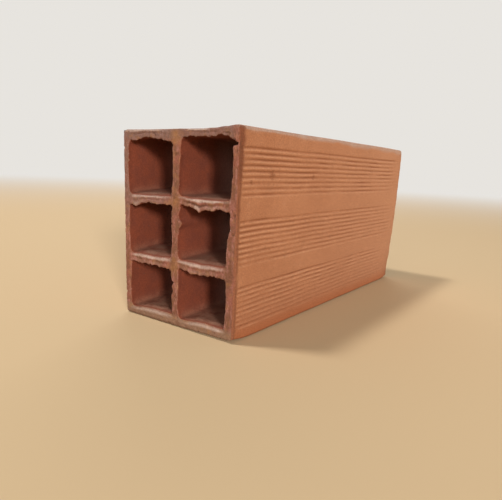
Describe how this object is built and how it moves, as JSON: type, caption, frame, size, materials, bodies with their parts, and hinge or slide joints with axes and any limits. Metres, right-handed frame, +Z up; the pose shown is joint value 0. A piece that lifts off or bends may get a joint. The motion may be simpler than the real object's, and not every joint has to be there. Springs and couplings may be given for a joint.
{
  "type": "hollow clay brick",
  "caption": "Extruded hollow clay brick with through-holes along its length and bands of fine scores on both large sides, for partition walls.",
  "frame": {"origin": "centre of the narrow long face that the brick rests on", "axes": "+Y along the brick and its holes, +X across it to the large side that the picture shows, +Z up; the end that the picture shows faces -Y"},
  "size_m": [0.09, 0.242, 0.118],
  "materials": {
    "fired_clay": "matt, unglazed, extruded terracotta with dusty torn cut ends"
  },
  "bodies": {
    "root": {"brick": "fired_clay"}
  },
  "joints": []
}
